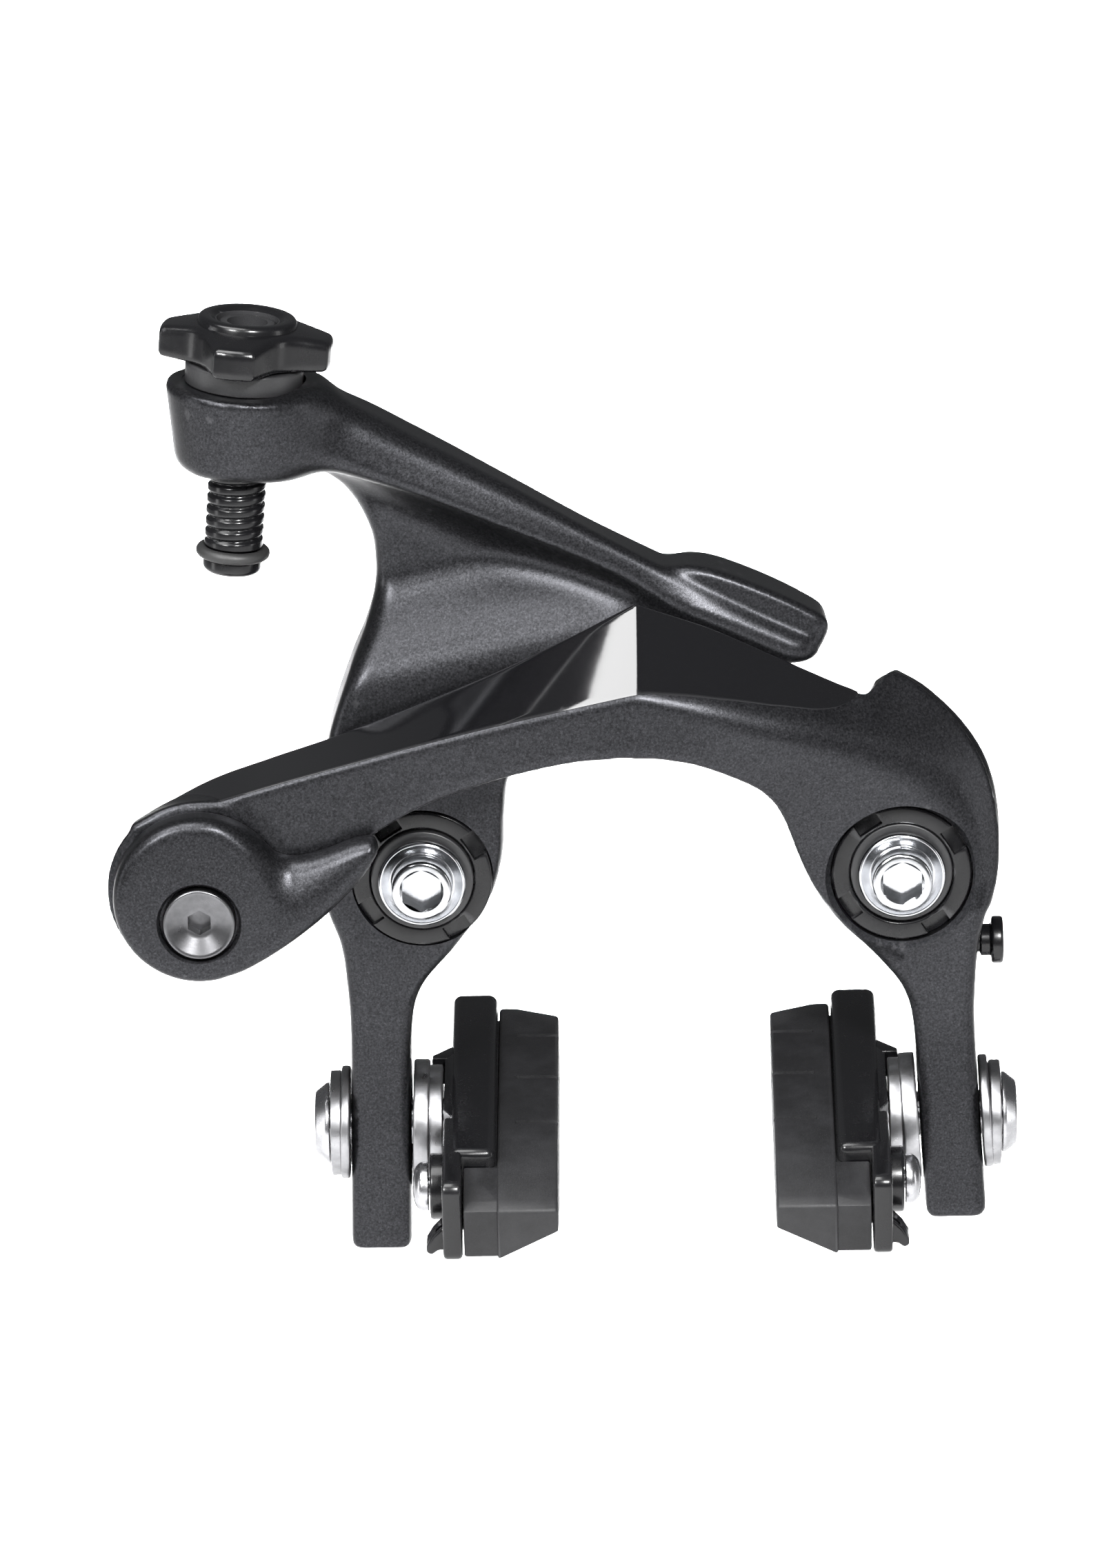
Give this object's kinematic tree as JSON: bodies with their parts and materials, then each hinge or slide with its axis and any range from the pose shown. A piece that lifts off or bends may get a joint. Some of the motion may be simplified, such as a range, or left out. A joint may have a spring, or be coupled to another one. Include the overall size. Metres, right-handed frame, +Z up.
{
  "type": "rim brake caliper",
  "caption": "Direct-mount rim brake caliper: crossed arms on fork bolts, shoes in slotted legs, cable adjuster and quick-release lever.",
  "frame": {"origin": "midway between the two mounting bolts' axes, on the plane of the bosses that the caliper bolts to", "axes": "+Z up, +X to the right as seen from the front, +Y into the fork; the caliper stands in front of the plane, towards -Y"},
  "size_m": [0.117, 0.0546, 0.1278],
  "materials": {
    "arm_finish": "satin metallic grey",
    "gloss_black": "gloss black",
    "black_plastic": "satin black",
    "rubber": "moulded brake compound",
    "chrome": "polished",
    "zinc_steel": "zinc plated",
    "bronze": "sintered",
    "spring_steel": "blackened"
  },
  "bodies": {
    "fork_side": {"left_mount_bolt": "chrome", "right_mount_bolt": "chrome", "left_pivot_sleeve": "zinc_steel", "right_pivot_sleeve": "zinc_steel"},
    "left_arm_group": {"left_arm": "arm_finish", "left_pivot_bush": "bronze", "left_ring_nut": "gloss_black", "left_dust_ring": "black_plastic", "left_pivot_seal": "black_plastic", "left_return_spring": "spring_steel", "adjuster_collar": "black_plastic"},
    "right_arm_group": {"right_arm": "arm_finish", "right_pivot_bush": "bronze", "right_ring_nut": "gloss_black", "right_dust_ring": "black_plastic", "right_pivot_seal": "black_plastic", "right_return_spring": "spring_steel", "roller_pin": "zinc_steel"},
    "adjuster_dial_group": {"adjuster_dial": "gloss_black"},
    "adjuster_stud_group": {"adjuster_stud": "gloss_black", "adjuster_o_ring": "rubber"},
    "quick_release_group": {"quick_release_lever": "arm_finish", "anchor_bolt": "black_plastic", "cable_clamp_washer": "zinc_steel", "anchor_nut": "zinc_steel"},
    "centring_screw_group": {"centring_screw": "gloss_black"},
    "roller_group": {"sync_roller": "black_plastic"},
    "left_shoe_group": {"left_shoe_holder": "gloss_black", "left_brake_pad": "rubber", "left_pad_screw": "zinc_steel", "left_inner_cup_washer": "zinc_steel", "left_inner_ball_washer": "zinc_steel", "left_outer_cup_washer": "zinc_steel", "left_outer_ball_washer": "zinc_steel", "left_shoe_bolt": "chrome"},
    "right_shoe_group": {"right_shoe_holder": "gloss_black", "right_brake_pad": "rubber", "right_pad_screw": "zinc_steel", "right_inner_cup_washer": "zinc_steel", "right_inner_ball_washer": "zinc_steel", "right_outer_cup_washer": "zinc_steel", "right_outer_ball_washer": "zinc_steel", "right_shoe_bolt": "chrome"}
  },
  "joints": [
    {"name": "left_arm_pivot", "type": "hinge", "parent": "fork_side", "child": "left_arm_group", "pos_m": [-0.031, -0.008, 0], "axis": [0, -1, 0], "range_deg": [0, 10], "stiffness_Nm_per_rad": 0.3, "springref_deg": -28.65, "deforming": ["left_return_spring"]},
    {"name": "right_arm_pivot", "type": "hinge", "parent": "fork_side", "child": "right_arm_group", "pos_m": [0.031, -0.008, 0], "axis": [0, 1, 0], "range_deg": [0, 10], "stiffness_Nm_per_rad": 0.3, "springref_deg": -28.65, "deforming": ["right_return_spring"]},
    {"name": "adjuster_dial_turn", "type": "hinge", "parent": "left_arm_group", "child": "adjuster_dial_group", "pos_m": [-0.0526, -0.016, 0.0614], "axis": [0.0906, 0, 0.9959], "range_deg": [-1180, 700]},
    {"name": "adjuster_stud_slide", "type": "slide", "parent": "left_arm_group", "child": "adjuster_stud_group", "axis": [0.0906, 0, 0.9959], "range_m": [-0.0029, 0.0049]},
    {"name": "quick_release_turn", "type": "hinge", "parent": "right_arm_group", "child": "quick_release_group", "pos_m": [-0.0592, -0.03, 0.0026], "axis": [0, 1, 0], "range_deg": [0, 90]},
    {"name": "centring_screw_turn", "type": "hinge", "parent": "right_arm_group", "child": "centring_screw_group", "pos_m": [0.042, -0.01, -0.0115], "axis": [1, 0, 0], "range_deg": [-180, 180]},
    {"name": "sync_roller_spin", "type": "hinge", "parent": "right_arm_group", "child": "roller_group", "pos_m": [0, -0.014, 0.026], "axis": [0, 1, 0], "continuous": true},
    {"name": "left_shoe_height", "type": "slide", "parent": "left_arm_group", "child": "left_shoe_group", "axis": [0.0209, 0, 0.9998], "range_m": [-0.003, 0.003]},
    {"name": "right_shoe_height", "type": "slide", "parent": "right_arm_group", "child": "right_shoe_group", "axis": [-0.0541, 0, 0.9985], "range_m": [-0.003, 0.003]}
  ],
  "couplings": [
    {"joint": "right_arm_pivot", "follows": "left_arm_pivot", "ratio": 1},
    {"joint": "adjuster_dial_turn", "follows": "adjuster_stud_slide", "rad_per_m": -4188.8}
  ]
}
